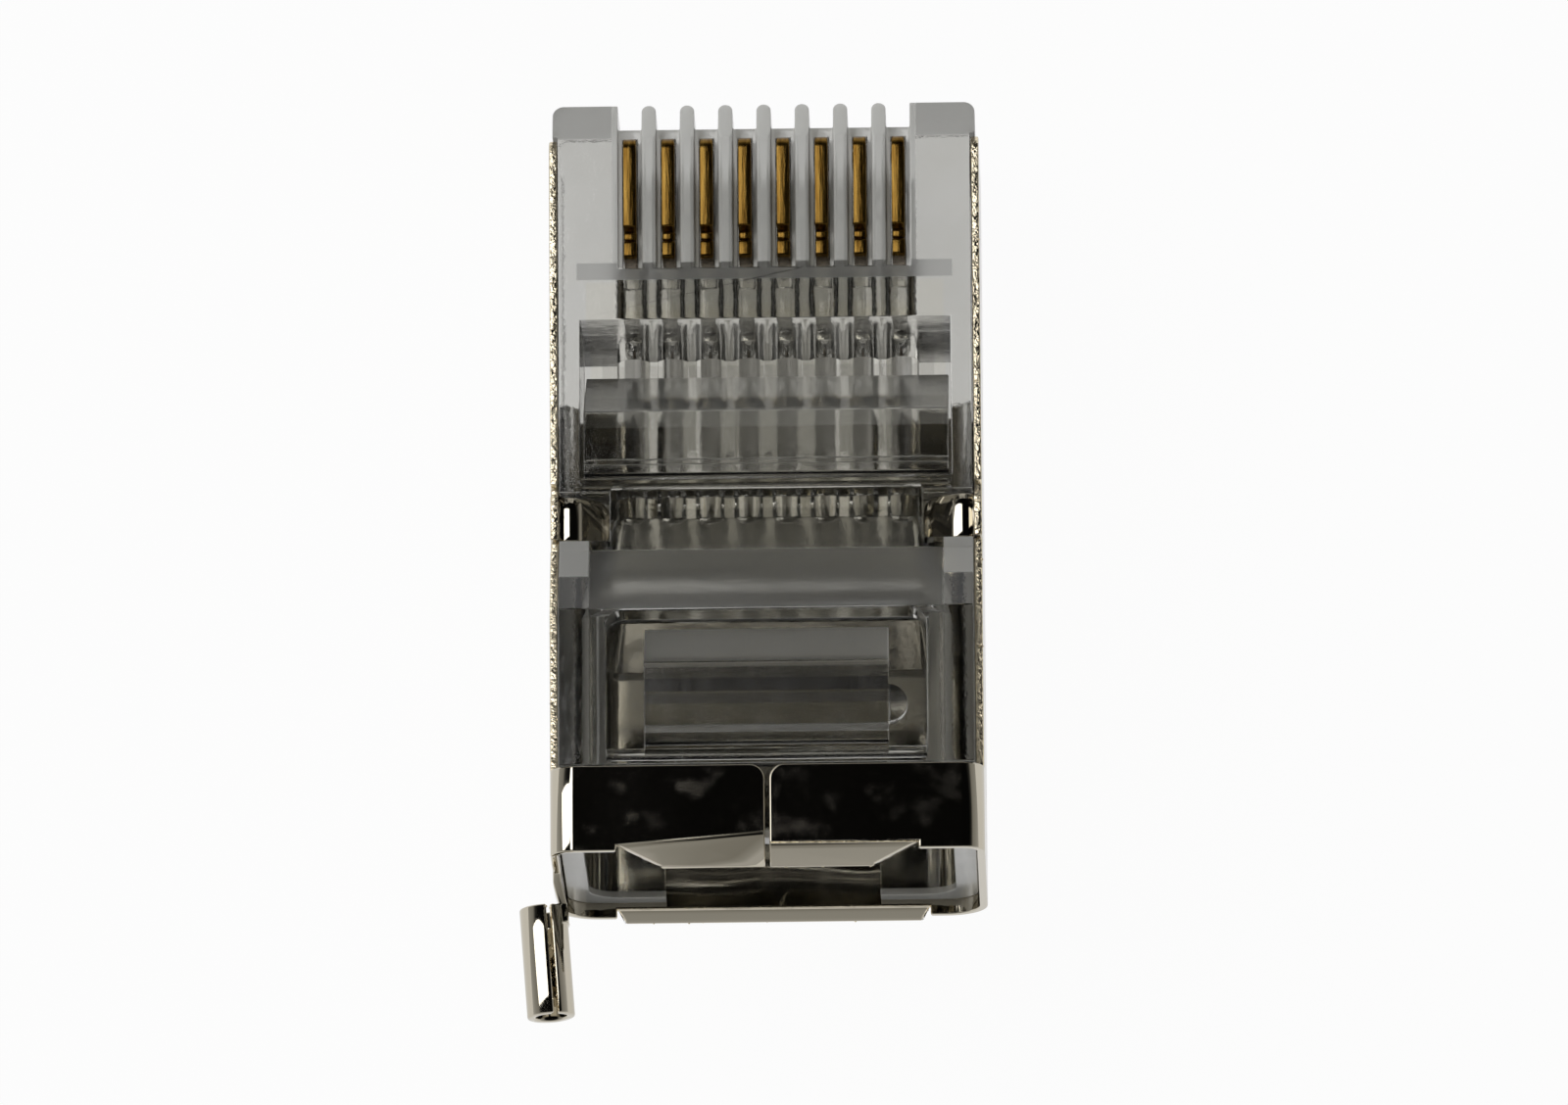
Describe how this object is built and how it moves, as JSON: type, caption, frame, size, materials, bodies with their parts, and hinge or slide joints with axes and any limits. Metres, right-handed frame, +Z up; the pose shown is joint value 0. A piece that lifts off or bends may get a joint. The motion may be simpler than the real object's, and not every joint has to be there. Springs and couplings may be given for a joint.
{
  "type": "shielded modular plug",
  "caption": "Shielded modular plug for twisted-pair cable: clear housing, gold blade contacts, folded metal shield with drain-wire tube, and a sprung latch.",
  "frame": {"origin": "middle of the nose's front edge on the latch side, where the plug touches the surface it lies on", "axes": "+X across the plug, +Y along the surface towards the nose, +Z up; the plug's own length is tipped up by 16.7 degrees towards the cable end, as it lies on its latch"},
  "size_m": [0.0123, 0.0241, 0.0136],
  "materials": {
    "clear_plastic": "clear polycarbonate, polished with a few frosted faces",
    "plated_sheet": "bright nickel plate",
    "gold_plate": "gold plate over nickel"
  },
  "bodies": {
    "plug": {"housing": "clear_plastic", "shield": "plated_sheet"},
    "latch": {"latch": "clear_plastic"},
    "conductor_bar": {"conductor_strain_relief": "clear_plastic"},
    "cable_bar": {"cable_strain_relief": "clear_plastic"},
    "contact_1": {"contact_1": "gold_plate"},
    "contact_2": {"contact_2": "gold_plate"},
    "contact_3": {"contact_3": "gold_plate"},
    "contact_4": {"contact_4": "gold_plate"},
    "contact_5": {"contact_5": "gold_plate"},
    "contact_6": {"contact_6": "gold_plate"},
    "contact_7": {"contact_7": "gold_plate"},
    "contact_8": {"contact_8": "gold_plate"}
  },
  "joints": [
    {"name": "latch_press", "type": "hinge", "parent": "plug", "child": "latch", "pos_m": [0, -0.00131, 0.00086], "axis": [-1, 0, 0], "range_deg": [0, 12], "stiffness_Nm_per_rad": 0.03},
    {"name": "conductor_bar_crimp", "type": "hinge", "parent": "plug", "child": "conductor_bar", "pos_m": [0, -0.00814, 0.00871], "axis": [-1, 0, 0], "range_deg": [0, 14]},
    {"name": "cable_bar_crimp", "type": "hinge", "parent": "plug", "child": "cable_bar", "pos_m": [0, -0.01506, 0.01245], "axis": [-1, 0, 0], "range_deg": [0, 18]},
    {"name": "contact_1_crimp", "type": "slide", "parent": "plug", "child": "contact_1", "axis": [0, -0.2873, -0.9578], "range_m": [0, 0.0006]},
    {"name": "contact_2_crimp", "type": "slide", "parent": "plug", "child": "contact_2", "axis": [0, -0.2873, -0.9578], "range_m": [0, 0.0006]},
    {"name": "contact_3_crimp", "type": "slide", "parent": "plug", "child": "contact_3", "axis": [0, -0.2873, -0.9578], "range_m": [0, 0.0006]},
    {"name": "contact_4_crimp", "type": "slide", "parent": "plug", "child": "contact_4", "axis": [0, -0.2873, -0.9578], "range_m": [0, 0.0006]},
    {"name": "contact_5_crimp", "type": "slide", "parent": "plug", "child": "contact_5", "axis": [0, -0.2873, -0.9578], "range_m": [0, 0.0006]},
    {"name": "contact_6_crimp", "type": "slide", "parent": "plug", "child": "contact_6", "axis": [0, -0.2873, -0.9578], "range_m": [0, 0.0006]},
    {"name": "contact_7_crimp", "type": "slide", "parent": "plug", "child": "contact_7", "axis": [0, -0.2873, -0.9578], "range_m": [0, 0.0006]},
    {"name": "contact_8_crimp", "type": "slide", "parent": "plug", "child": "contact_8", "axis": [0, -0.2873, -0.9578], "range_m": [0, 0.0006]}
  ],
  "couplings": [
    {"joint": "contact_2_crimp", "follows": "contact_1_crimp", "ratio": 1},
    {"joint": "contact_3_crimp", "follows": "contact_1_crimp", "ratio": 1},
    {"joint": "contact_4_crimp", "follows": "contact_1_crimp", "ratio": 1},
    {"joint": "contact_5_crimp", "follows": "contact_1_crimp", "ratio": 1},
    {"joint": "contact_6_crimp", "follows": "contact_1_crimp", "ratio": 1},
    {"joint": "contact_7_crimp", "follows": "contact_1_crimp", "ratio": 1},
    {"joint": "contact_8_crimp", "follows": "contact_1_crimp", "ratio": 1}
  ]
}
